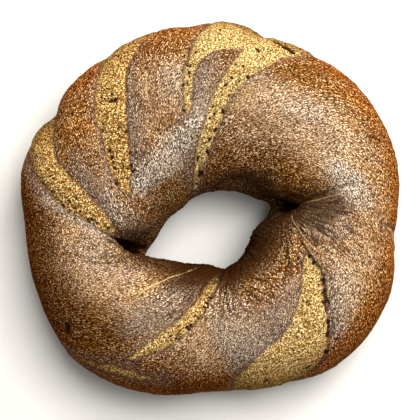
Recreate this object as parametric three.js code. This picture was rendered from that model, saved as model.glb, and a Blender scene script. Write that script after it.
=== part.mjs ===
// A pumpernickel bagel: one rope of dark rye dough, twisted, closed into a ring and baked.
// Its skin tore along the twist as it rose, so paler crumb lies open in slanting splits.
// Millimetres, +Z up. The bagel lies on z = 0 with the middle of its base at the origin.
import * as THREE from "three";
import { ParametricGeometry } from "three/addons/geometries/ParametricGeometry.js";

const TAU = 2 * Math.PI;
const { degToRad, smoothstep, lerp, clamp } = THREE.MathUtils;

// The rope at stations evenly spaced about the ring's axis, counter-clockwise from +X:
// how far from the axis the hole's wall and the outer side lie, and how high the crest is.
const STATIONS = [
  { hole: 14.5, outer: 56.0, crest: 33.5 }, // east, where the two ends of the rope meet
  { hole: 19.6, outer: 60.5, crest: 35.0 },
  { hole: 17.0, outer: 62.5, crest: 36.5 },
  { hole: 14.3, outer: 61.5, crest: 38.0 },
  { hole: 12.5, outer: 63.5, crest: 38.5 }, // north, the fattest stretch
  { hole: 11.5, outer: 61.2, crest: 38.5 },
  { hole: 10.8, outer: 59.5, crest: 38.0 },
  { hole: 12.5, outer: 58.5, crest: 36.5 },
  { hole: 14.7, outer: 53.5, crest: 34.5 }, // west
  { hole: 19.2, outer: 53.0, crest: 33.5 },
  { hole: 14.0, outer: 54.0, crest: 34.5 },
  { hole: 11.9, outer: 51.0, crest: 35.0 },
  { hole: 11.0, outer: 48.0, crest: 34.5 }, // south
  { hole: 13.3, outer: 49.5, crest: 34.5 },
  { hole: 13.4, outer: 55.0, crest: 35.0 },
  { hole: 13.5, outer: 57.0, crest: 34.5 },
];

// The rope's cross-section, drawn round a middle at the height of its widest point.
const WAIST = 0.45; // that height, as a share of the crest's
const CROWN_FULLNESS = 2.2; // 2 is an ellipse, and more is squarer
const FOOT_FULLNESS = 2.4;
const FOOT_REACH = 1.25; // the foot's curve would end this far below the middle, but the tray cuts it flat

// Splits in the skin. Each runs through points of [ring angle, tube angle, half width], in degrees and mm.
// The tube angle is 0 on the outer side, 90 on the crest and 180 in the hole.
// One edge of the skin is torn: the one on the left of the run (1) or on the right (-1). The groove along
// it is as deep as the step from the skin down to the crumb.
const SPLITS = {
  northWest: {
    torn: 1,
    step: 0.7,
    run: [
      [97, -25, 0.5], [108, 5, 6.5], [116, 26, 6.2], [121.5, 43, 4.7], [130, 67, 4.8], [138, 90, 3.8],
      [148, 108, 3], [155.5, 118, 2], [163, 126, 0.3],
    ],
  },
  west: {
    torn: -1,
    step: 1.2,
    run: [
      [139, -20, 0.5], [148, 12, 5.5], [157, 36, 5], [163, 51, 4.1], [171.5, 78, 4.1], [176, 92, 3.1],
      [181, 104, 1.9], [188, 119, 0.3],
    ],
  },
  northShort: {
    torn: -1,
    step: 0.7,
    run: [
      [76, -20, 0.5], [80, 11, 7.5], [84.5, 36, 7.2], [90, 50, 4], [93, 60, 2.4],
      [97, 76, 1.6], [99, 98, 1.2], [102, 111, 0.3],
    ],
  },
  northLong: {
    torn: 1,
    step: 0.5,
    run: [
      [55, -20, 0.5], [64, 13, 7.5], [71, 36, 7.2], [73.5, 56, 4.6], [81, 87, 2.8], [89, 127, 2.2],
      [106, 170, 0.8],
    ],
  },
  south: {
    torn: -1,
    step: 0.7,
    run: [
      [241, 48, 0.5], [251, 71, 2.2], [262, 96, 2], [273, 122, 1.3], [286, 150, 0.5],
    ],
  },
  southEast: {
    torn: -1,
    step: 1.2,
    run: [
      [280, -18, 0.5], [287, 2, 8], [293, 18, 9.3], [300, 35, 9], [306, 46, 7.5], [311, 56, 6.2],
      [317, 68.5, 4.7], [323, 81, 3.5], [331, 92.5, 3], [336.5, 101, 1.5], [341, 106, 0.2],
    ],
  },
  eastSide: {
    torn: -1,
    step: 1,
    run: [
      [349, -30, 0.5], [355, -2, 3], [358, 20, 1.2], [360, 42, 0.3],
    ],
  },
};
const TEAR_WIDTH = 1.8; // the groove along the torn edge
const SEAM = { depth: 0.8, width: 2.2 }; // the groove along the other
const SAG = { depth: 1.1, shoulder: 5 }; // how far the crown sinks at a split, and from how far outside it

// Creases where the rope folds against itself, and shallow hollows of the rim between splits.
// Each runs through points of [ring angle, tube angle, half width, depth].
const CREASES = {
  eastJoint: {
    run: [
      [29, 205, 2, 1], [24, 182, 2.4, 3.6], [17, 164, 2.6, 5.5], [12, 144, 2.6, 6.5],
      [11, 126, 2.8, 4.2], [11.5, 108, 3, 2.6], [12, 94, 3.2, 1.6], [12.5, 80, 3.6, 0.6], [13, 68, 4, 0.2],
    ],
  },
  westFold: {
    run: [
      [200, 215, 2, 0.3], [198, 180, 2, 1.6], [197, 158, 2.4, 6.5], [196, 138, 2.4, 4.5],
      [192, 122, 2.4, 1.8], [184, 102, 2.6, 0.8], [180, 86, 3, 0.3],
    ],
  },
  northWestHollow: {
    run: [
      [136, -30, 4, 0.5], [141, -5, 5, 2.4], [147, 25, 5, 2.4], [154, 55, 4, 0.3],
    ],
  },
  northHollow: {
    run: [
      [90, -30, 4, 0.3], [93, 0, 5, 1.4], [97, 35, 5, 1.4], [102, 65, 4, 0.2],
    ],
  },
  southHollow: {
    run: [
      [268, -30, 6, 0.3], [274, 0, 7, 1.4], [282, 30, 7, 1.2], [294, 60, 5, 0.2],
    ],
  },
};

// How finely the surface is divided. Its columns wind round the rope, as the dough does.
const COLUMNS = 160;
const ROWS = 36;
const WIND_COLUMNS = 54;
const CROWN_CROWDING = 0.3; // rows lie closer on the crown than underneath, by this share
const RUN_STEPS = 28;

const rope = new THREE.CatmullRomCurve3(
  STATIONS.map(({ hole, outer, crest }) => new THREE.Vector3(hole, outer, crest)),
  true,
  "catmullrom",
);

// The rope's section at a ring angle, in radians.
function sectionAt(ring) {
  const turn = ring / TAU;
  const { x: hole, y: outer, z: crest } = rope.getPoint(turn - Math.floor(turn));
  return { axle: (hole + outer) / 2, reach: (outer - hole) / 2, crest, waist: WAIST * crest };
}

// Distance from the section's middle to the bare skin along a tube angle.
function skinDistance({ reach, crest, waist }, tube) {
  const rise = Math.sin(tube);
  const height = rise >= 0 ? crest - waist : waist * FOOT_REACH;
  const fullness = rise >= 0 ? CROWN_FULLNESS : FOOT_FULLNESS;
  const across = Math.abs(Math.cos(tube)) / reach;
  return (across ** fullness + (Math.abs(rise) / height) ** fullness) ** (-1 / fullness);
}

// A run drawn as a smooth curve: points of ring angle and tube angle, in radians, and half width.
function smoothRun(run) {
  const points = run.map(([ring, tube, half]) => new THREE.Vector3(degToRad(ring), degToRad(tube), half));
  return new THREE.CatmullRomCurve3(points, false, "catmullrom").getPoints(RUN_STEPS);
}

const splits = Object.values(SPLITS).map(({ torn, step, run }) => ({ torn, step, line: smoothRun(run) }));
const creases = Object.values(CREASES).map(({ run }) => ({
  depths: run.map((point) => point[3]),
  line: smoothRun(run),
}));

// The difference between two angles, the short way round.
function turnBetween(from, to) {
  const turns = (to - from) / TAU;
  return (turns - Math.round(turns)) * TAU;
}

// How a place on the skin lies to a line: the distance in mm, positive on its left, and at the line's
// nearest point the half width and the share of the way along.
function besideLine(line, { ring, tube, ringRadius, tubeRadius }) {
  let nearest = { distance: Infinity, half: 0, share: 0 };
  for (let i = 1; i < line.length; i++) {
    const [start, end] = [line[i - 1], line[i]];
    const x = turnBetween(start.x, ring) * ringRadius;
    const y = turnBetween(start.y, tube) * tubeRadius;
    const stepX = (end.x - start.x) * ringRadius;
    const stepY = (end.y - start.y) * tubeRadius;
    const along = clamp((x * stepX + y * stepY) / (stepX ** 2 + stepY ** 2), 0, 1);
    const away = Math.hypot(x - along * stepX, y - along * stepY);
    if (away < Math.abs(nearest.distance)) {
      const side = stepX * y < stepY * x ? -1 : 1;
      const share = (i - 1 + along) / (line.length - 1);
      nearest = { distance: side * away, half: lerp(start.z, end.z, along), share };
    }
  }
  return nearest;
}

function groove({ depth, width }, distance) {
  return depth * Math.exp(-((distance / width) ** 2));
}

// How far a split lowers the skin.
function splitDepth({ torn, step, line }, place) {
  const { distance, half } = besideLine(line, place);
  const towardsTear = torn * distance;
  const crown = Math.max(0, Math.sin(place.tube)) ** 2;
  const tear = groove({ depth: step, width: TEAR_WIDTH }, towardsTear - half);
  const seam = groove(SEAM, towardsTear + half);
  const sag = groove({ depth: SAG.depth, width: half + SAG.shoulder }, distance * Math.SQRT2);
  return smoothstep(half, 0.3, 2) * (tear + seam + crown * sag);
}

// How far a crease does.
function creaseDepth({ depths, line }, place) {
  const { distance, half, share } = besideLine(line, place);
  const position = share * (depths.length - 1);
  const before = Math.min(Math.floor(position), depths.length - 2);
  const depth = lerp(depths[before], depths[before + 1], position - before);
  return groove({ depth, width: half }, distance);
}

// A point on the bagel's surface.
function surfacePoint(u, v, target) {
  const tube = TAU * (v - 0.25) + CROWN_CROWDING * Math.sin(TAU * v);
  const ring = TAU * (u + (WIND_COLUMNS / COLUMNS) * v);
  const section = sectionAt(ring);
  const skin = skinDistance(section, tube);
  const place = { ring, tube, ringRadius: section.axle + skin * Math.cos(tube), tubeRadius: skin };
  let distance = skin;
  for (const split of splits) distance -= splitDepth(split, place);
  for (const crease of creases) distance -= creaseDepth(crease, place);
  const rise = Math.sin(tube);
  if (rise < 0) distance = Math.min(distance, section.waist / -rise);
  const radius = section.axle + distance * Math.cos(tube);
  target.set(radius * Math.cos(ring), radius * Math.sin(ring), section.waist + distance * rise);
}

const dough = new ParametricGeometry(surfacePoint, COLUMNS, ROWS);
dough.computeBoundingBox();
const middle = dough.boundingBox.getCenter(new THREE.Vector3());
dough.translate(-middle.x, -middle.y, -dough.boundingBox.min.z);

const crust = new THREE.MeshStandardMaterial({ color: 0x93714d, roughness: 0.5, metalness: 0 });
const bagel = new THREE.Mesh(dough, crust);
bagel.name = "bagel";

const part = new THREE.Group();
part.add(bagel);
export default part;
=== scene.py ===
# %% [markdown]
# # A pumpernickel bagel
# The bagel is one rope of dark rye dough, twisted and closed into a ring. The CAD model gives its true
# form: the ring, the two folds beside the hole and the grooves along the splits. This lesson adds what
# is too fine for that model: torn edges, open crumb, pits, wrinkles and the baked colours.

# %% Load the ring
import bpy
import numpy as np
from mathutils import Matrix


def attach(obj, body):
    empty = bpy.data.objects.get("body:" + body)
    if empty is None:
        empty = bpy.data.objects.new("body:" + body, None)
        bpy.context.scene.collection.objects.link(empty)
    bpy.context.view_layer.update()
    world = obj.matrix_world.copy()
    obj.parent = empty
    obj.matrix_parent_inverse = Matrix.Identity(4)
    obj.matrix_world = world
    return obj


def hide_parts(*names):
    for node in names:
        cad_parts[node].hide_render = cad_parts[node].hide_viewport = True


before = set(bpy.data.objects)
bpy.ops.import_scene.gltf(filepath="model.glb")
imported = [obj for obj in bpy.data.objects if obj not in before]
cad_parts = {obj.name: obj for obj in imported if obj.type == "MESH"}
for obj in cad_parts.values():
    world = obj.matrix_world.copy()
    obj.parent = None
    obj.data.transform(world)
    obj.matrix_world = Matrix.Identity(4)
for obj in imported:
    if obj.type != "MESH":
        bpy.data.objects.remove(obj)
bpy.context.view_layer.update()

# %% [markdown]
# ## A finer copy of the dough
# The CAD mesh has faces about 2 mm wide, which is too coarse for crumb. A copy of it is merged into one
# skin, its triangles are joined into quads, and two levels of Subdivision Surface round it off. Sculpting
# from a torus would also work, but then every groove would have to be found again.

# %% Copy the CAD mesh
bpy.ops.object.select_all(action="DESELECT")
bagel = bpy.data.objects.new("dough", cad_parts["bagel"].data.copy())
bpy.context.scene.collection.objects.link(bagel)
bpy.context.view_layer.objects.active = bagel
bagel.select_set(True)
bagel.data.materials.clear()
bpy.ops.mesh.customdata_custom_splitnormals_clear()
print("triangles in the copy:", len(bagel.data.polygons))

# %% Merge it into one skin of quads
SAME_POINT = 1e-5  # m
ANY_ANGLE = 3.14  # triangles are joined whatever the angle between them

bpy.ops.object.mode_set(mode="EDIT")
bpy.ops.mesh.select_all(action="SELECT")
bpy.ops.mesh.remove_doubles(threshold=SAME_POINT)
bpy.ops.mesh.tris_convert_to_quads(face_threshold=ANY_ANGLE, shape_threshold=ANY_ANGLE)
bpy.ops.object.mode_set(mode="OBJECT")
sides = [len(face.vertices) for face in bagel.data.polygons]
print("quads:", sides.count(4), "triangles left:", sides.count(3))

# %% Subdivide the skin
LEVELS = 2

bpy.ops.object.modifier_add(type="SUBSURF")
bagel.modifiers[-1].levels = LEVELS
bagel.modifiers[-1].render_levels = LEVELS
bpy.ops.object.modifier_apply(modifier=bagel.modifiers[-1].name)
bpy.ops.object.shade_smooth()
print("points in the skin:", len(bagel.data.vertices), "faces:", len(bagel.data.polygons))

# %% [markdown]
# ## Where each point lies on the rope
# Marks on a twisted rope are easiest to place by two angles: the ring angle, counter-clockwise from +X,
# and the tube angle, 0 on the outer side, 90 on the crest and 180 in the hole. Both are measured round
# the rope's own middle, whose size at each station repeats the CAD model's.

# %% The rope's stations
RING_AXIS = (-0.980, -7.411)  # mm
WAIST = 0.45  # height of the rope's middle, as a share of the crest's
ROPE = np.array([  # hole's wall, outer side and crest, in mm, every 22.5 degrees
    (14.5, 56.0, 33.5), (19.6, 60.5, 35.0), (17.0, 62.5, 36.5), (14.3, 61.5, 38.0),
    (12.5, 63.5, 38.5), (11.5, 61.2, 38.5), (10.8, 59.5, 38.0), (12.5, 58.5, 36.5),
    (14.7, 53.5, 34.5), (19.2, 53.0, 33.5), (14.0, 54.0, 34.5), (11.9, 51.0, 35.0),
    (11.0, 48.0, 34.5), (13.3, 49.5, 34.5), (13.4, 55.0, 35.0), (13.5, 57.0, 34.5),
])
rope_widths = ROPE[:, 1] - ROPE[:, 0]
print("the rope is", rope_widths.min().round(1), "to", rope_widths.max().round(1), "mm wide")


# %% A smooth curve through rows of numbers
def smooth_curve(rows, share, closed=False):
    """Values at shares 0 to 1 of the way along a smooth curve through rows of numbers."""
    rows = np.asarray(rows, float)
    if closed:
        rows = np.vstack([rows[-1:], rows, rows[:2]])
    else:
        rows = np.vstack([2 * rows[:1] - rows[1:2], rows, 2 * rows[-1:] - rows[-2:-1]])
    place = np.asarray(share) * (len(rows) - 3)
    step = np.clip(place.astype(int), 0, len(rows) - 4)
    t = (place - step)[:, None]
    before, start, end, after = (rows[step + k] for k in range(4))
    cubic = 3 * (start - end) + after - before
    square = 2 * before - 5 * start + 4 * end - after
    return start + 0.5 * t * (end - before + t * (square + t * cubic))


halfway = smooth_curve(ROPE, [0.5 / len(ROPE)], closed=True)[0]
print("hole, outer side and crest between the first two stations, mm:", halfway.round(1))

# %% Ring angle, tube angle and radii of every point
TAU = 2 * np.pi


def points_mm():
    flat = np.empty(3 * len(bagel.data.vertices), np.float32)
    bagel.data.vertices.foreach_get("co", flat)
    return 1000 * flat.reshape(-1, 3).astype(float)


skin = points_mm()
from_axis = skin[:, :2] - RING_AXIS
ring = np.arctan2(from_axis[:, 1], from_axis[:, 0]) % TAU
ring_radius = np.hypot(from_axis[:, 0], from_axis[:, 1])
hole, outer, crest = smooth_curve(ROPE, ring / TAU, closed=True).T
across = ring_radius - (hole + outer) / 2
above = skin[:, 2] - WAIST * crest
tube = np.arctan2(above, across)
tube_radius = np.hypot(across, above)
print("tube radius, mm:", tube_radius.min().round(1), "to", tube_radius.max().round(1))

# %% Tube angles in degrees, from -90 to 270, so that they jump in the middle of the base
tube_degrees = np.degrees(tube) % 360
tube_degrees = np.where(tube_degrees > 270, tube_degrees - 360, tube_degrees)
print("tube angles:", tube_degrees.min().round(), "to", tube_degrees.max().round())

# %% [markdown]
# ## The splits
# As the dough rose, its skin tore along the twist and pale crumb opened. Each split is a run over the
# skin with a half width at each point. On most, one edge is torn clean and stands proud; along the other
# the skin stretched and fades into crumb. Drawing them by hand in Texture Paint is the usual way; a run
# of a few points does the same and can be measured.

# %% Runs of the splits
# Which edge is torn, left (+) or right (-), and how sharply, then how pale the crumb is, each from 0 to 1,
# then points of ring angle, tube angle and half width in mm.
SPLITS = {
    "north_west": (0.5, 0.2, [
        (97, -25, 0.5), (108, 5, 6.5), (116, 26, 6.2), (121.5, 43, 4.7), (130, 67, 4.8), (138, 90, 3.8),
        (148, 108, 3), (155.5, 118, 2), (163, 126, 0.3),
    ]),
    "west": (-0.3, 0.3, [
        (139, -20, 0.5), (148, 12, 5.5), (157, 36, 5), (163, 51, 4.1), (171.5, 78, 4.1), (176, 92, 3.1),
        (181, 104, 1.9), (188, 119, 0.3),
    ]),
    "north_short": (-0.5, 1.0, [
        (76, -20, 0.5), (80, 11, 7.5), (84.5, 36, 7.2), (90, 50, 4), (93, 60, 2.4), (97, 76, 1.6),
        (99, 98, 1.2), (102, 111, 0.3),
    ]),
    "north_long": (0.2, 0.9, [
        (58, 12, 0.5), (65, 26, 5.5), (71, 37, 7.2), (73.5, 56, 4.6), (81, 87, 2.8), (89, 127, 2.2),
        (106, 170, 0.8),
    ]),
    "south": (-0.6, 0.6, [
        (241, 48, 0.5), (251, 71, 2.4), (262, 96, 2.2), (273, 122, 1.5), (286, 150, 0.5),
    ]),
    "south_east": (-1, 0.8, [
        (280, -18, 0.5), (287, 2, 8), (293, 18, 9.3), (300, 35, 9), (306, 46, 7.5), (311, 56, 6.2),
        (317, 68.5, 4.7), (323, 81, 3.5), (331, 92.5, 3), (336.5, 101, 1.5), (341, 106, 0.2),
    ]),
    "east_side": (-0.5, 1.0, [(349, -30, 0.5), (355, -2, 3), (358, 20, 1.2), (360, 42, 0.3)]),
    "low_south": (0, 0.2, [(222, 12, 0.5), (232, 24, 1.6), (240, 31, 1.7), (254, 34, 0.5)]),
}
print("splits:", ", ".join(SPLITS))


# %% How points lie to a spot and to a run
RUN_STEPS = 40


def short_way(turns):
    """Differences of angle, the short way round."""
    return (turns + np.pi) % TAU - np.pi


def from_spot(ring_angle, tube_angle):
    """Every point's way from a spot in mm: along the ring and round the rope. Angles are in radians."""
    return short_way(ring - ring_angle) * ring_radius, short_way(tube - tube_angle) * tube_radius


def beside(run):
    """For every point: the distance from a run in mm, positive on its left, and the half width there."""
    line = smooth_curve(run, np.linspace(0, 1, RUN_STEPS + 1))
    line[:, :2] = np.radians(line[:, :2])
    nearest = np.full(len(skin), np.inf)
    half = np.zeros(len(skin))
    for (ring_0, tube_0, half_0), (ring_1, tube_1, half_1) in zip(line, line[1:]):
        x, y = from_spot(ring_0, tube_0)
        step_x, step_y = (ring_1 - ring_0) * ring_radius, (tube_1 - tube_0) * tube_radius
        along = np.clip((x * step_x + y * step_y) / (step_x**2 + step_y**2), 0, 1)
        away = np.hypot(x - along * step_x, y - along * step_y)
        closer = away < np.abs(nearest)
        side = np.where(step_x * y < step_y * x, -1, 1)
        nearest = np.where(closer, side * away, nearest)
        half = np.where(closer, half_0 + along * (half_1 - half_0), half)
    return nearest, half


print("half width of the widest split, mm:", beside(SPLITS["south_east"][2])[1].max().round(1))

# %% Uneven edges
from mathutils import noise


def mottle(places, size):
    """Smooth noise from -1 to 1, with spots about this size in mm."""
    return np.array([noise.noise(place) for place in places / size])


ragged = 0.5 * mottle(skin, 5.0) + 0.35 * mottle(skin, 1.8)  # mm
print("edges wander by mm:", ragged.min().round(2), "to", ragged.max().round(2))

# %% How far every point is inside a split, and from a torn edge
FAR_AWAY = 20.0  # mm, further than any mark reaches
SOFT_EDGE = 0.8  # the stretched edge fades over a wider stretch than the torn one
FAINT_EDGE = 0.5  # and both edges of a split with no torn one over a still wider stretch
SHUT = 0.55  # mm, half width under which a split hasn't opened
LEAST_OUTSIDE = 0.3  # mm, how far from crumb a place there counts as being
TORN = 0.6  # mm, half width from which its edge is torn

inside = np.full(len(skin), -FAR_AWAY)
tear = np.full(len(skin), FAR_AWAY)
sharp = np.zeros(len(skin))
pale = np.ones(len(skin))
for torn, paleness, run in SPLITS.values():
    distance, half = beside(run)
    if torn:
        towards_tear = np.sign(torn) * distance
        wander = ragged * np.clip(half / 2, 0.3, 1)  # less where a split is narrow
        past_tear = towards_tear - half - wander
        depth = np.minimum(-past_tear, (towards_tear + half) * SOFT_EDGE + ragged)
        gap = np.where(half > TORN, past_tear, FAR_AWAY)
        nearer = np.abs(gap) < np.abs(tear)
        sharp = np.where(nearer, abs(torn), sharp)
        tear = np.where(nearer, gap, tear)
    else:
        depth = (half - np.abs(distance)) * FAINT_EDGE + ragged
    depth = np.where(half < SHUT, np.minimum(depth, -LEAST_OUTSIDE), depth)
    pale = np.where(depth > inside, paleness, pale)
    inside = np.maximum(inside, depth)
print("points in crumb:", int((inside > 0).sum()), "of", len(skin))

# %% [markdown]
# ## Thin seams and pits
# Besides the wide splits the skin has a few hairline seams, where it only just parted, deep folds where
# the rope closes on itself, narrow cracks, and round pits where a bubble broke open. The largest pits have
# a place of their own; the small ones lie at random in the crumb and along the torn edges.

# %% Hairline seams and deep folds
SEAMS = {  # points of ring angle, tube angle and half width in mm, as in all runs below
    "south_west": [(262, 152, 0.06), (241, 132, 0.13), (231, 115, 0.16), (229, 99, 0.05)],
    "north": [(112, 63, 0.05), (115, 77, 0.15), (117, 90, 0.05)],
    "east": [(364, 127, 0.02), (356, 118, 0.06), (350, 111, 0.08), (345, 102, 0.02)],
    "east_crease": [(11.5, 125, 0.01), (10.8, 110, 0.03), (10.8, 96, 0.03), (11, 84, 0.01)],
}
FOLDS = {
    "east": [(24, 182, 1.0), (17, 164, 1.0), (12, 145, 0.8), (11, 134, 0.1)],
    "west": [(198, 180, 1.0), (197, 160, 1.4), (196, 140, 1.1), (193, 126, 0.3)],
}


def outside(*runs):
    """Distance in mm of every point from the edge of the nearest of some runs, negative on it."""
    nearest = np.full(len(skin), FAR_AWAY)
    for run in runs:
        distance, half = beside(run)
        nearest = np.minimum(nearest, np.abs(distance) - half)
    return nearest


seam = outside(*SEAMS.values())
fold = outside(*FOLDS.values())
print("points on seams:", int((seam < 0).sum()), "in folds:", int((fold < 0).sum()))

# %% Cracks and single wrinkles
CRACKS = {
    "north_rim": [(74, 25, 0.2), (70, 28, 1.0), (66.5, 30, 1.35), (64.5, 32.5, 1.2), (62, 35.5, 0.2)],
    "north_west": [(131, 60, 0.1), (129, 65, 0.5), (127, 67, 0.5), (124, 68, 0.1)],
    "south_east": [(334, 84, 0.02), (327, 73, 0.1), (323, 60, 0.15), (319, 48, 0.2), (315, 38, 0.1)],
    "west": [(184, 97, 0.02), (187, 108, 0.2), (191, 119, 0.3), (195, 138, 0.5)],
    "east": [(12, 130, 0.2), (13, 108, 0.12), (13.5, 92, 0.15), (13.5, 80, 0.12), (13, 70, 0.05)],
    "east_wrinkle": [(354, 90, 0.02), (351, 82, 0.08), (347, 71, 0.08), (345, 66, 0.02)],
    "west_wrinkle": [(204, 130, 0.1), (202, 108, 0.08), (199, 94, 0.08), (196, 80, 0.02)],
    "south_west_wrinkle": [(207, 122, 0.08), (203, 99, 0.08), (200, 87, 0.02)],
    "south_wrinkle": [(287, 128, 0.1), (281, 108, 0.08), (279, 92, 0.08), (278, 78, 0.02)],
}
crack = outside(*CRACKS.values())
print("points in cracks:", int((crack < 0).sum()))

# %% Places of the largest pits
PITS = [  # ring angle, tube angle, radius in mm
    (217, 39, 1.2), (218, 35, 1.2), (223, 46, 0.4), (226, 24, 0.5),  # south-west
    (145, 93, 0.6), (147, 98, 0.6), (149, 103, 0.5), (151, 107, 0.5), (158.5, 113.5, 0.6), (118, 21, 0.9),
    (172, 72, 0.3), (173, 75, 0.3), (180, 94, 0.5),  # west
    (94, 57, 0.6), (96, 68, 0.6), (97, 73, 0.6), (97, 78, 0.5), (98, 85, 0.5), (99, 93, 0.5),  # north
    (91, 33, 0.5), (86, 40, 0.5), (80, 25, 0.6), (77, 18, 0.6), (74, 46, 0.6), (68, 37, 0.7),
    (73, 48, 0.6), (77, 67, 0.5), (80, 79, 0.5), (82, 87, 0.6), (86, 111, 0.5), (88, 116, 0.5),
    (324.5, 70, 0.6), (319.5, 55, 0.6), (318, 50, 0.5), (316.5, 46, 0.8), (312, 31, 0.8), (305, 25, 1.0),
    (291, 20, 0.9), (337.5, 97, 0.5),  # south-east
    (263, 95, 0.4), (260, 84, 0.6), (253, 76, 0.4), (249, 58, 0.4),  # south
]


def point_at(ring_angle, tube_angle):
    """The point of the skin nearest to two angles in degrees."""
    x, y = from_spot(np.radians(ring_angle), np.radians(tube_angle))
    return np.argmin(np.abs(x) + np.abs(y))


pits = [(point_at(ring_angle, tube_angle), radius) for ring_angle, tube_angle, radius in PITS]
print("large pits:", len(pits))

# %% Small pits at random
SMALL_PITS = 75  # in the crumb, and as many along the torn edges
SMALL_RADII = (0.2, 0.5)  # mm
random = np.random.default_rng(11)

clear_of_base = skin[:, 2] > 3
in_crumb = np.flatnonzero((inside > 0.4) & clear_of_base)
by_tear = np.flatnonzero((np.abs(tear + 0.5) < 0.5) & clear_of_base)
for place in (in_crumb, by_tear):
    pits += [(index, random.uniform(*SMALL_RADII)) for index in random.choice(place, SMALL_PITS)]
pit = np.full(len(skin), FAR_AWAY)
for index, radius in pits:
    pit = np.minimum(pit, np.linalg.norm(skin - skin[index], axis=1) - radius)
print("pits:", len(pits), "points in them:", int((pit < 0).sum()))

# %% [markdown]
# ## How the skin baked, and where sheen and shade are painted
# The skin didn't bake evenly: beside the splits it stretched thin and grey, it is more orange at the rim
# and darker towards the base. On top of that, sheen and shade are painted: a pale, silvery sheen on the
# crest, near-black shade in the hollows and on the hole's wall, and shade on the south-west shoulder.
# Weight Paint would mark such areas by hand. Here each is a few runs over the skin with a soft edge, so
# that an area can be moved by its numbers.


# %% Thin, stretched skin
def fade(values, start, end):
    """0 before start, 1 after end, smooth between."""
    share = np.clip((values - start) / (end - start), 0, 1)
    return share * share * (3 - 2 * share)


def soft_mark(distance, around, within):
    """1 on a mark, fading to 0 from some mm within its edge to some mm around it."""
    return fade(-distance, -around, within)


def soft_area(*runs, around=4, within=2):
    """A soft mark on the area that some runs cover."""
    return soft_mark(outside(*runs), around, within)


STRETCHED = {
    "east_fan": [(364, 114, 3), (360, 100, 5), (357, 86, 5), (356, 74, 1)],
    "between_north_splits": [(88, 55, 2), (92, 78, 3), (97, 108, 3), (104, 130, 3), (112, 150, 1)],
    "beside_north_west": [(117, 48, 1.5), (125, 82, 2), (133, 104, 2.5), (146, 126, 3)],
    "above_west": [(155, 72, 0.5), (162, 85, 1.5), (168, 101, 1.5), (178, 115, 2)],
    "below_west": [(158, 15, 0.5), (162, 28, 1.2), (172, 59, 1.5), (182, 90, 1.5), (192, 115, 1)],
    "beside_south_east": [(317, 42, 0.6), (320, 48, 1.2), (324, 57, 1.5), (329, 69, 1.5), (334, 79, 1)],
    "south": [(282, 105, 4), (285, 88, 7), (285, 67, 7), (283, 50, 3)],
    "west_of_south_east": [(296, 66, 3), (307, 83, 4), (321, 100, 2)],
    "west_of_south": [(262, 122, 2), (252, 112, 4), (245, 98, 5), (240, 84, 4), (236, 72, 1)],
}
stretched = soft_area(*STRETCHED.values())
print("points on stretched skin:", int((stretched > 0.5).sum()))

# %% Painted silvery sheen
SILVER_SHEEN = {  # how strong the painted silvery sheen is, from 0 to 1, and the run
    "north": (1.0, [(90, 104, 0.5), (101, 122, 2.5), (112, 126, 3), (125, 130, 3), (151, 128, 2)]),
    "west_of_north": (0.5, [(104, 71, 1.5), (105, 83, 1.5)]),
    "north_east": (0.4, [(74, 80, 0.5), (67, 78, 2.5), (53, 83, 2.5), (42, 79, 2)]),
    "east": (1.0, [(23, 91, 1), (12, 74, 3), (7, 62, 1.5)]),
    "south_east": (0.5, [(339, 67, 1.5), (332, 59, 3), (320, 48, 1)]),
    "south": (0.4, [(275, 90, 1), (285, 74, 5), (292, 61, 4)]),
    "below_west": (0.6, [(171, 50, 0.5), (178, 78, 1), (188, 108, 1.5)]),
    "above_west": (0.5, [(150, 104, 0.2), (170, 111, 1.5), (177, 123, 2.5), (187, 138, 1.5)]),
    "south_west": (0.4, [(195, 93, 2.5), (205, 107, 2.5), (217, 113, 1.5)]),
}
silver_sheen = np.zeros(len(skin))
for sheen_strength, run in SILVER_SHEEN.values():
    silver_sheen = np.maximum(silver_sheen, sheen_strength * soft_area(run))
print("points on silvery skin:", int((silver_sheen > 0.3).sum()))

# %% Painted shade in the hollows by the hole and on the south-west shoulder, and browner crumb at the rim
# Painted shade in the hollows by the hole and beside the pinches
SHADED = {
    "east": [(11, 138, 5), (8.5, 122, 5), (7, 108, 5), (6, 96, 4.5), (5.5, 86, 3), (5.5, 77, 0.5)],
    "north_east": [(18, 161, 4), (32, 156, 4), (50, 156, 3), (70, 160, 1)],
    "west": [(198, 150, 4), (195, 140, 4), (192, 130, 3), (188, 119, 1)],
    "south": [(270, 154, 3), (286, 148, 5), (290, 135, 3), (291, 122, 1)],
    "south_west": [(243, 122, 0.5), (252, 128, 2), (264, 134, 3), (276, 134, 2)],
}
SHADED_SHOULDER = [  # painted shade on the shoulder of the south-west side
    (172, 26, 3), (182, 38, 5), (196, 38, 6), (212, 45, 8), (226, 54, 8), (242, 36, 4), (270, 18, 3),
]
CRUMB_BROWNED = [(58, 18, 1), (70, 12, 3), (82, 10, 4), (98, 14, 2)]  # the north rim
shaded = soft_area(*SHADED.values())
shaded_shoulder = soft_area(SHADED_SHOULDER, around=7, within=3)
crumb_browned = soft_area(CRUMB_BROWNED, around=7, within=3)
print("points in hollows:", int((shaded > 0.5).sum()), "on browned skin:", int((shaded_shoulder > 0.5).sum()))

# %% Painted sheen along the crest
CREST_SHEEN = [  # how strong the painted sheen is, from 0 to 1, and the tube angle of its brightest line, every 22.5 degrees
    (0.4, 60), (0.75, 80), (1.0, 92), (0.8, 104), (0.7, 98), (0.7, 85), (0.4, 100), (0.3, 100),
    (0.5, 88), (1.0, 94), (0.85, 100), (0.75, 92), (0.9, 76), (0.75, 78), (0.7, 72), (0.75, 74),
]
# painted sheen on the inner side of the north crest
NORTH_SHEEN = [(103, 124, 3), (113, 127, 5), (125, 130, 5), (137, 128, 3)]
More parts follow.
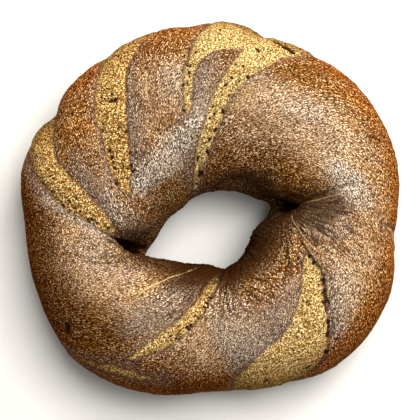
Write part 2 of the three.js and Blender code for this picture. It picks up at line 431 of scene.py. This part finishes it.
# Here paleness is the strength of the painted sheen.
paleness, brightest_sheen_tube = smooth_curve(CREST_SHEEN, ring / TAU, closed=True).T
painted_sheen = paleness * (1 - fade(np.abs(tube_degrees - brightest_sheen_tube), 10, 42))
painted_sheen = np.clip(np.maximum(painted_sheen, soft_area(NORTH_SHEEN, around=3)), 0, 1)
print("points with bloom:", int((painted_sheen > 0.5).sum()))

# %% Rim, sides and painted shade on the hole's wall
DARKEST_WALL = np.radians(290)  # ring angle where the painted shade on the hole's wall is darkest
LEAST_DARK = 0.15  # how dark the painted shade on the wall is on the other side, as a share of that

rim = 1 - fade(tube_degrees, 10, 55)
low_side = 1 - fade(tube_degrees, -12, 28)
# The hole's wall gets painted shade, darkest on its south side.
wall = np.clip(0.5 + 0.8 * np.cos(ring - DARKEST_WALL), 0, 1)
wall_shade = fade(tube_degrees, 106, 142) * (LEAST_DARK + (1 - LEAST_DARK) * wall)
print("points on the rim:", int((rim > 0.5).sum()), "on the hole's wall:", int((wall_shade > 0.5).sum()))

# %% [markdown]
# ## Where the skin is gathered
# Where the rope closes on itself the skin is pinched, and fine folds fan out from there over the crest.
# Carving each fold would be slow. Instead every point keeps the direction that it lies in from its pinch,
# and noise that reads directions alone makes folds that all run out from the pinch.

# %% Fans of folds
PINCHES = {  # ring angle, tube angle, reach in mm, and whether the fan has only its clockwise half
    "east": (10, 134, 30, True),
    "west": (196, 138, 14, False),
    "south": (287, 146, 21, False),
}
SPOKE_LENGTH = 150  # mm, so long that a fold hardly changes along its way


def hump(distance, width):
    """1 at no distance, falling away smoothly over a width."""
    return np.exp(-((distance / width) ** 2))


gathered = np.zeros(len(skin))
spokes = np.zeros((len(skin), 3))
for ring_angle, tube_angle, reach, clockwise_only in PINCHES.values():
    x, y = from_spot(np.radians(ring_angle), np.radians(tube_angle))
    away = np.hypot(x, y) + 0.01  # never 0, since it divides below
    near = hump(away, reach) * fade(away, 0.5, 4)  # the pinch itself has no folds
    if clockwise_only:
        near = near * fade(-x, -3, 2)
    directions = np.stack([x / away, y / away, away / SPOKE_LENGTH], 1)
    spokes[near > gathered] = directions[near > gathered]
    gathered = np.maximum(gathered, near)
print("points in fans:", int((gathered > 0.5).sum()))

# %% [markdown]
# ## Pressing detail into the dough
# Sculpt Mode would draw bumps and hollows by hand. Here every layer is a weight for each point, and a
# Displace modifier moves the skin along its normals by that weight, so that a layer can be repeated and
# its depth measured. The flat base, which lay on the tray, is left as it is.

# %% A helper that presses one layer, and the first layer
LEAST_WEIGHT = 0.002
off_base = fade(skin[:, 2], 0.2, 2.5)


def press(name, weight, height):
    """Displace the skin by a height in mm where a weight from 0 to 1 says so."""
    weight = weight * off_base
    group = bagel.vertex_groups.new(name=name)
    for index in np.flatnonzero(weight > LEAST_WEIGHT):
        group.add([int(index)], float(weight[index]), "REPLACE")
    bpy.ops.object.modifier_add(type="DISPLACE")
    layer = bagel.modifiers[-1]
    layer.vertex_group = name
    layer.mid_level = 0
    layer.strength = height / 1000
    bpy.ops.object.modifier_apply(modifier=layer.name)
    bagel.vertex_groups.remove(bagel.vertex_groups[name])
    moved = int((weight > LEAST_WEIGHT).sum())
    print(name, "pressed by up to", round(height * weight.max(), 2), "mm at", moved, "points")


def patchy(level, contrast, places, size):
    """A weight from 0 to 1 that varies about a level, in spots of a size in mm."""
    return np.clip(level + contrast * mottle(places, size), 0, 1)


press("lumps", patchy(0.5, 0.5, skin, 9.0), 0.5)

# %% Wrinkles along the twist
TWIST = 0.4  # ring angle by which the grain of the dough turns for each unit of tube angle
LONG_WRINKLES = (24, 24, 1.4)  # how fine they are round the ring, in x and y, and along the grain
FINE_WRINKLES = (45, 45, 2.4)

from_base = (tube + TAU / 4) % TAU
twisted = ring - TWIST * from_base
grain = np.stack([np.cos(twisted), np.sin(twisted), from_base], 1)
wrinkles = mottle(grain * LONG_WRINKLES, 1) + 0.5 * mottle(grain * FINE_WRINKLES, 1)
near_hole = fade(tube_degrees, 70, 130) * (1 - fade(tube_degrees, 190, 240))
crust = fade(-inside, 0, 1)
press("wrinkles", crust * (0.15 + 0.35 * near_hole) * np.clip(0.5 + 0.6 * wrinkles, 0, 1), 0.9)

# %% Fans, folds and blisters
press("fans", crust * gathered * patchy(0.4, 0.8, 20 * spokes, 1), 0.6)
press("folds", soft_mark(fold, around=1.0, within=0.3), -2.5)
press("blisters", crust * fade(mottle(skin, 2.2), 0.25, 0.7), 0.18)

# %% Crumb and torn edges
LIP_AT = 0.7  # mm, outside the torn edge
GAP_AT = -0.3  # mm, inside it

crumbly = np.clip(0.5 + 0.6 * mottle(skin, 1.6) + 0.4 * mottle(skin, 0.9), 0, 1)
press("crumb", fade(inside, 0, 1.2) * crumbly, 0.5)
press("lip", sharp * hump(tear - LIP_AT, 0.6) * patchy(0.7, 0.6, skin, 3.0), 0.45)
press("gap", sharp * hump(tear - GAP_AT, 0.45) * patchy(0.6, 0.9, skin, 2.5), -0.9)

# %% Seams, cracks and pits
press("seams", soft_mark(seam, around=0.5, within=0.2), -0.35)
press("cracks", soft_mark(crack, around=0.5, within=0.2), -0.9)
press("pits", soft_mark(pit, around=0.35, within=0.35), -0.9)
print("lowest point, mm:", points_mm()[:, 2].min().round(3))

# %% [markdown]
# ## What the material needs to know
# The colours follow the marks on the skin, so each mark is stored with the mesh as an attribute that an
# Attribute node can read. Distances in mm stay sharp between points, where painted colours would blur.

# %% Store the marks as attributes
MARKS = {
    "split": inside,
    "pale": pale,
    "tear": tear,
    "sharp": sharp,
    "seam": seam,
    "pit": np.minimum(pit, crack),
    "fold": fold,
    "stretched": stretched,
    "painted_sheen": painted_sheen,
    "silver_sheen": silver_sheen,
    "shaded": shaded,
    "gathered": gathered,
    "spokes": spokes,
    "grain": grain,
    "far": fade(ring_radius, 25, 36),
    "rim": rim,
    "side": low_side,
    "crumb_browned": crumb_browned,
    "shaded_shoulder": shaded_shoulder,
    "wall_shade": wall_shade,
}
for name, values in MARKS.items():
    kind, field = ("FLOAT", "value") if values.ndim == 1 else ("FLOAT_VECTOR", "vector")
    layer = bagel.data.attributes.new(name, kind, "POINT")
    layer.data.foreach_set(field, np.ascontiguousarray(values, np.float32).ravel())
print("attributes:", [layer.name for layer in bagel.data.attributes if not layer.is_internal])

# %% [markdown]
# ## The baked crust
# Dark rye bakes to a brown skin with countless pale flecks of bran, more orange at the rim, greyer where
# the skin stretched beside a split. An image could be painted for this, but noise has no seams and needs
# no file. The flecks lie along the twist, so their noise reads the grain that was stored with the mesh,
# and broad patches read Object coordinates.

# %% The material, and how its nodes are wired
crust_material = bpy.data.materials.new("baked_rye_crust")
crust_material.use_nodes = True
tree = crust_material.node_tree
shader = next(node for node in tree.nodes if node.type == "BSDF_PRINCIPLED")


def wire(socket, value):
    """Link a socket to another node's output, or set its number or colour."""
    if isinstance(value, bpy.types.NodeSocket):
        tree.links.new(value, socket)
    elif hasattr(socket.default_value, "__len__") and len(socket.default_value) == 4:
        socket.default_value = (*value, 1)
    else:
        socket.default_value = value


def mark(name, output="Fac"):
    """A mark that is stored with the mesh."""
    node = tree.nodes.new("ShaderNodeAttribute")
    node.attribute_name = name
    return node.outputs[output]


print("material:", crust_material.name)


# %% Spots of noise, and numbers
MM = 0.001


def spots(places, size):
    """Noise with spots of about this size, in the unit of the places."""
    node = tree.nodes.new("ShaderNodeTexNoise")
    wire(node.inputs["Vector"], places)
    node.inputs["Scale"].default_value = 1 / size
    node.inputs["Detail"].default_value = 2.0
    node.inputs["Roughness"].default_value = 0.5
    return node.outputs["Fac"]


def between(value, start, end, low=0.0, high=1.0):
    """Map a value from start..end to low..high, smoothly and clamped."""
    node = tree.nodes.new("ShaderNodeMapRange")
    node.interpolation_type = "SMOOTHSTEP"
    wire(node.inputs["Value"], value)
    wire(node.inputs["From Min"], start)
    wire(node.inputs["From Max"], end)
    wire(node.inputs["To Min"], low)
    wire(node.inputs["To Max"], high)
    return node.outputs["Result"]


def calculate(operation, first, second=0.0):
    """One operation on one or two numbers."""
    node = tree.nodes.new("ShaderNodeMath")
    node.operation = operation
    wire(node.inputs[0], first)
    wire(node.inputs[1], second)
    return node.outputs[0]


places = tree.nodes.new("ShaderNodeTexCoord").outputs["Object"]
patches = spots(places, 12 * MM)
print("nodes so far:", len(tree.nodes))


# %% Grains, and patterns along the twist
HOLE_SIDE, RIM_SIDE = 20, 45  # mm from the ring's axis, where a pattern has its true size
ROPE_RADIUS = 19  # mm


def grains(places, size):
    """Separate grains about this far apart, each of its own brightness from 0 to 1."""
    node = tree.nodes.new("ShaderNodeTexVoronoi")
    wire(node.inputs["Vector"], places)
    node.inputs["Scale"].default_value = 1 / size
    bright = tree.nodes.new("ShaderNodeSeparateColor")
    wire(bright.inputs["Color"], node.outputs["Color"])
    return calculate("MULTIPLY", between(node.outputs["Distance"], 0.5, 0.2), bright.outputs["Red"])


def along_grain(pattern, size, length):
    """A pattern of a size in mm, drawn out this many times along the twist.

    The ring is longer at the rim than at the hole, so two layers are mixed, one fitted to each. The
    numbers that a Mix node takes are its sockets 2 and 3.
    """
    layers = []
    for radius in (HOLE_SIDE, RIM_SIDE):
        node = tree.nodes.new("ShaderNodeMapping")
        node.inputs["Scale"].default_value = (radius, radius, ROPE_RADIUS / length)
        wire(node.inputs["Vector"], mark("grain", "Vector"))
        layers.append(pattern(node.outputs["Vector"], size))
    node = tree.nodes.new("ShaderNodeMix")
    wire(node.inputs[0], mark("far"))
    wire(node.inputs[2], layers[0])
    wire(node.inputs[3], layers[1])
    return node.outputs[0]


streaks = along_grain(spots, 0.30, 1.6)
bran = along_grain(grains, 0.34, 1.2)
flecks = calculate("ADD", calculate("MULTIPLY", bran, 0.75), between(streaks, 0.38, 0.62, 0.0, 0.4))
print("nodes with the flecks:", len(tree.nodes))


# %% Blends and ramps of colour
def blend(share, first, second, kind="MIX"):
    """Mix two colours. A Mix node takes them in its sockets 6 and 7."""
    node = tree.nodes.new("ShaderNodeMix")
    node.data_type = "RGBA"
    node.blend_type = kind
    wire(node.inputs[0], share)
    wire(node.inputs[6], first)
    wire(node.inputs[7], second)
    return node.outputs[2]


def ramp(value, stops):
    """The colour of a value, from stops of value and colour."""
    node = tree.nodes.new("ShaderNodeValToRGB")
    wire(node.inputs["Fac"], value)
    while len(node.color_ramp.elements) < len(stops):
        node.color_ramp.elements.new(0.5)
    for element, (position, colour) in zip(node.color_ramp.elements, stops):
        element.position = position
        element.color = (*colour, 1)
    return node.outputs["Color"]


tone = ramp(patches, [
    (0.35, (0.85, 0.78, 0.70)),
    (0.50, (1.00, 0.95, 0.88)),
    (0.65, (1.08, 0.96, 0.70)),
])
print("nodes with the tone:", len(tree.nodes))

# %% Flecked crust and its painted sheen
flecked = ramp(flecks, [
    (0.05, (0.010, 0.003, 0.0006)),
    (0.30, (0.106, 0.038, 0.007)),
    (0.50, (0.275, 0.131, 0.034)),
    (0.75, (0.850, 0.680, 0.450)),
])
# A paler, greyer crust that paints the sheen of the crest
painted_sheen_colour = ramp(flecks, [
    (0.05, (0.048, 0.017, 0.003)),
    (0.30, (0.235, 0.139, 0.062)),
    (0.50, (0.490, 0.372, 0.250)),
    (0.72, (0.970, 0.870, 0.720)),
])
sheen_share = calculate("MULTIPLY", mark("painted_sheen"), between(patches, 0.35, 0.6, 0.75, 1.0))
crust_colour = blend(1.0, blend(sheen_share, flecked, painted_sheen_colour), tone, "MULTIPLY")
print("nodes with the crust:", len(tree.nodes))

# %% Rim, darker low sides and painted shade on the south-west shoulder
RIM_TINT = (0.98, 0.61, 0.28)
SIDE_BROWN = (0.120, 0.060, 0.025)
SHOULDER_SHADE_TINT = (0.55, 0.50, 0.45)


def paint(colour, share, strength, over):
    """A colour with another laid over it, by a share from 0 to 1 times a strength."""
    return blend(calculate("MULTIPLY", share, strength), colour, over)


crust_colour = blend(mark("rim"), crust_colour, RIM_TINT, "MULTIPLY")
crust_colour = paint(crust_colour, mark("side"), 0.45, SIDE_BROWN)
# Painted shade on the south-west shoulder
crust_colour = blend(mark("shaded_shoulder"), crust_colour, SHOULDER_SHADE_TINT, "MULTIPLY")
print("nodes with the rim:", len(tree.nodes))

# %% Thin skin and painted silvery sheen
thin_skin = ramp(flecks, [
    (0.05, (0.028, 0.018, 0.014)),
    (0.40, (0.135, 0.096, 0.074)),
    (0.75, (0.600, 0.490, 0.400)),
])
silver_sheen_colour = ramp(flecks, [
    (0.05, (0.030, 0.021, 0.014)),
    (0.30, (0.240, 0.188, 0.138)),
    (0.50, (0.540, 0.460, 0.372)),
    (0.72, (1.000, 0.930, 0.850)),
])
thin = calculate("MAXIMUM", mark("stretched"), between(mark("split"), -2.5, -0.3, 0.0, 0.5))
crust_colour = paint(crust_colour, thin, 0.65, thin_skin)
# Painted silvery sheen
crust_colour = paint(crust_colour, mark("silver_sheen"), 0.75, silver_sheen_colour)
print("nodes with the thin skin:", len(tree.nodes))

# %% Painted highlights and shade on the fans of folds, and painted shade in the hollows
FAN_SHADE_BROWN = (0.018, 0.008, 0.003)
HOLLOW_SHADE_BROWN = (0.020, 0.008, 0.0025)
FOLD_WIDTH = 1 / 26  # in directions from the pinch

folds = spots(mark("spokes", "Vector"), FOLD_WIDTH)
gathering = between(mark("gathered"), 0.15, 0.75)
# Painted highlights on the crests of the fan folds, painted shade in the gaps between them
crust_colour = paint(crust_colour, gathering, between(folds, 0.50, 0.60, 0.0, 0.6), painted_sheen_colour)
crust_colour = paint(crust_colour, gathering, between(folds, 0.48, 0.38, 0.0, 0.75), FAN_SHADE_BROWN)
# Painted shade in the hollows by the hole
crust_colour = paint(crust_colour, mark("shaded"), 0.8, HOLLOW_SHADE_BROWN)
print("nodes with the folds:", len(tree.nodes))

# %% [markdown]
# ## The open crumb
# In a split the crumb is golden and porous, with pale grains and dark pores, and browner towards the rim.
# Its grains are half a millimetre wide, finer than the mesh, so a Voronoi texture gives the grains and
# noise the pores. The distance into the split, which was stored with the mesh, says where crumb begins.

# %% Crumb colour
CRUMB_RIM_TINT = (0.55, 0.45, 0.31)
CRUMB_BROWNED_TINT = (0.50, 0.40, 0.32)
CRUMB_GRAIN = 0.45 * MM

crumbs = calculate("MULTIPLY", grains(places, CRUMB_GRAIN), 0.6)
crumbs = calculate("ADD", crumbs, between(spots(places, CRUMB_GRAIN), 0.3, 0.7, 0.0, 0.6))
browned_crumb = ramp(crumbs, [
    (0.05, (0.020, 0.006, 0.0004)),
    (0.30, (0.120, 0.048, 0.006)),
    (0.50, (0.320, 0.172, 0.042)),
    (0.70, (0.900, 0.660, 0.300)),
])
pale_crumb = ramp(crumbs, [
    (0.05, (0.060, 0.027, 0.003)),
    (0.30, (0.225, 0.134, 0.036)),
    (0.50, (0.400, 0.280, 0.112)),
    (0.75, (0.840, 0.690, 0.390)),
])
crumb_colour = blend(mark("pale"), browned_crumb, pale_crumb)
crumb_colour = blend(mark("rim"), crumb_colour, CRUMB_RIM_TINT, "MULTIPLY")
crumb_colour = blend(mark("crumb_browned"), crumb_colour, CRUMB_BROWNED_TINT, "MULTIPLY")
print("nodes with the crumb:", len(tree.nodes))

# %% Crumb in the splits, brown edges, painted shade on the hole's wall and pale seams
EDGE_BROWN = (0.05, 0.016, 0.005)
WALL_SHADE_BROWN = (0.022, 0.007, 0.0015)
SEAM_GOLD = (0.40, 0.29, 0.13)

frayed = calculate("MULTIPLY", calculate("SUBTRACT", spots(places, 1.2 * MM), 0.5), 1.4)
open_crumb = between(calculate("ADD", mark("split"), frayed), -0.3, 0.6)
colour = blend(open_crumb, crust_colour, crumb_colour)
from_edge = calculate("ABSOLUTE", calculate("ADD", mark("split"), 0.15))
colour = blend(between(from_edge, 0.45, 0.1, 0.0, 0.45), colour, EDGE_BROWN)
# Painted shade on the hole's wall
colour = paint(colour, mark("wall_shade"), 0.95, WALL_SHADE_BROWN)
colour = blend(between(mark("seam"), 0.25, -0.1, 0.0, 0.85), colour, SEAM_GOLD)
print("nodes with the splits:", len(tree.nodes))

# %% Painted shade in the gaps along torn edges, in pits and cracks and in the deep folds
TEAR_SHADE_BROWN = (0.03, 0.011, 0.004)
PIT_SHADE_BROWN = (0.02, 0.008, 0.003)
DEEP_FOLD_SHADE = (0.01, 0.004, 0.001)

# Painted shade in the gap beside each torn edge
from_tear = calculate("ABSOLUTE", calculate("ADD", mark("tear"), 0.25))
torn_shade_line = calculate("MULTIPLY", between(from_tear, 0.4, 0.05), mark("sharp"))
broken = between(spots(places, 2.5 * MM), 0.38, 0.55)
colour = paint(colour, torn_shade_line, broken, TEAR_SHADE_BROWN)
# Painted shade in pits and cracks
colour = blend(between(mark("pit"), 0.15, -0.15), colour, PIT_SHADE_BROWN)
# Painted shade in the deep folds
colour = blend(between(mark("fold"), 1.0, -0.3), colour, DEEP_FOLD_SHADE)
wire(shader.inputs["Base Color"], colour)
print("nodes with the dark lines:", len(tree.nodes))

# %% [markdown]
# ## Relief and gloss
# Baked dough is matt, but smooth, pale skin has a soft sheen. Raising Specular would make all of it shine,
# crumb too, so a Coat with a roughness of its own lies only where the crest's sheen and the silvery sheen
# are painted. The flecks of bran are too fine for the mesh, so Bump lifts them.

# %% Fine relief and a matt skin
FLECK_HEIGHT = 0.2 * MM

shader.inputs["Specular IOR Level"].default_value = 0.0
shader.inputs["Roughness"].default_value = 0.75
bump = tree.nodes.new("ShaderNodeBump")
bump.inputs["Distance"].default_value = FLECK_HEIGHT
bump.inputs["Strength"].default_value = 1.0
wire(bump.inputs["Height"], flecks)
wire(shader.inputs["Normal"], bump.outputs["Normal"])
print("flecks stand up to", FLECK_HEIGHT / MM, "mm proud")

# %% A soft gloss where sheen is painted
glaze = calculate("MAXIMUM", mark("painted_sheen"), mark("silver_sheen"))
glaze = calculate("MULTIPLY", glaze, calculate("SUBTRACT", 1.0, open_crumb))
glaze = calculate("MULTIPLY", glaze, calculate("SUBTRACT", 1.0, mark("gathered")))
wire(shader.inputs["Coat Weight"], calculate("MULTIPLY", glaze, between(flecks, 0.15, 0.5)))
shader.inputs["Coat Roughness"].default_value = 0.45
wire(shader.inputs["Coat Normal"], bump.outputs["Normal"])
bagel.data.materials.append(crust_material)
print("nodes in the material:", len(tree.nodes))

# %% [markdown]
# ## The finished piece
# The detailed dough takes the place of the CAD ring, rides with it and wears its crust. It could also lie
# over the ring, but then the two skins would cut through each other.

# %% Put the piece in the CAD ring's place
bagel.name = "bagel_baked"
bagel.data.name = "bagel_baked"
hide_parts("bagel")
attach(bagel, "root")
print("faces in the piece:", len(bagel.data.polygons))

# %% [markdown]
# ## Floor, light and camera
# The bagel lies on a pale floor, seen almost from above. A large soft light stands over it to the right,
# two low ones behind it catch the far rim, and a weak one in front fills the near side. One light alone
# would be simpler, but the rim would then sink into shade.

# %% The floor
PALE_GREY = (0.45, 0.45, 0.45, 1)

bpy.ops.object.select_all(action="DESELECT")
bpy.ops.mesh.primitive_plane_add(size=6)
floor = bpy.context.object
floor.name = "floor"
paper = bpy.data.materials.new("pale_paper")
paper.use_nodes = True
paper_shader = next(node for node in paper.node_tree.nodes if node.type == "BSDF_PRINCIPLED")
paper_shader.inputs["Base Color"].default_value = PALE_GREY
paper_shader.inputs["Roughness"].default_value = 0.9
floor.data.materials.append(paper)
print("floor, m:", floor.dimensions[:2])

# %% The lights
from mathutils import Vector

LIT_SPOT = Vector((0, 0, 0.02))  # m
WARM_WHITE = (1.0, 0.96, 0.90)
WARMER_WHITE = (1.0, 0.93, 0.82)


def soft_light(name, place, width, power, colour):
    """A square light at a place in m, turned to the bagel."""
    bpy.ops.object.light_add(type="AREA", location=place)
    lamp = bpy.context.object
    lamp.name = name
    lamp.data.size = width
    lamp.data.energy = power
    lamp.data.color = colour
    lamp.rotation_euler = (LIT_SPOT - lamp.location).to_track_quat("-Z", "Y").to_euler()
    print("light", name, "of", power, "W")


soft_light("key", (0.38, 0.24, 1.22), 0.90, 40.0, WARM_WHITE)
soft_light("right_rim", (0.70, 0.95, 0.25), 0.50, 24.0, WARMER_WHITE)
soft_light("back_rim", (-0.40, 1.10, 0.25), 0.50, 11.0, WARMER_WHITE)
soft_light("front", (0.0, -0.50, 1.08), 0.60, 4.0, WARM_WHITE)

# %% The room's own light
world = bpy.context.scene.world or bpy.data.worlds.new("studio")
bpy.context.scene.world = world
world.use_nodes = True
sky = next(node for node in world.node_tree.nodes if node.type == "BACKGROUND")
sky.inputs["Color"].default_value = (1, 1, 1, 1)
sky.inputs["Strength"].default_value = 0.1
bpy.context.scene.view_settings.view_transform = "Standard"
print("room light:", round(sky.inputs["Strength"].default_value, 2))

# %% The camera
ELEVATION = np.radians(78)
DISTANCE = 0.5  # m
AIM = Vector((0, -0.00119, 0.01674))  # m
SENSOR, LENS = 36, 144.3  # mm

bpy.ops.object.camera_add(location=AIM + DISTANCE * Vector((0, -np.cos(ELEVATION), np.sin(ELEVATION))))
camera = bpy.context.object
camera.rotation_euler = (AIM - camera.location).to_track_quat("-Z", "Y").to_euler()
camera.data.sensor_width = SENSOR
camera.data.lens = LENS
camera.data.clip_start = 0.01  # m
bpy.context.scene.camera = camera
print("camera at, m:", [round(number, 3) for number in camera.location])
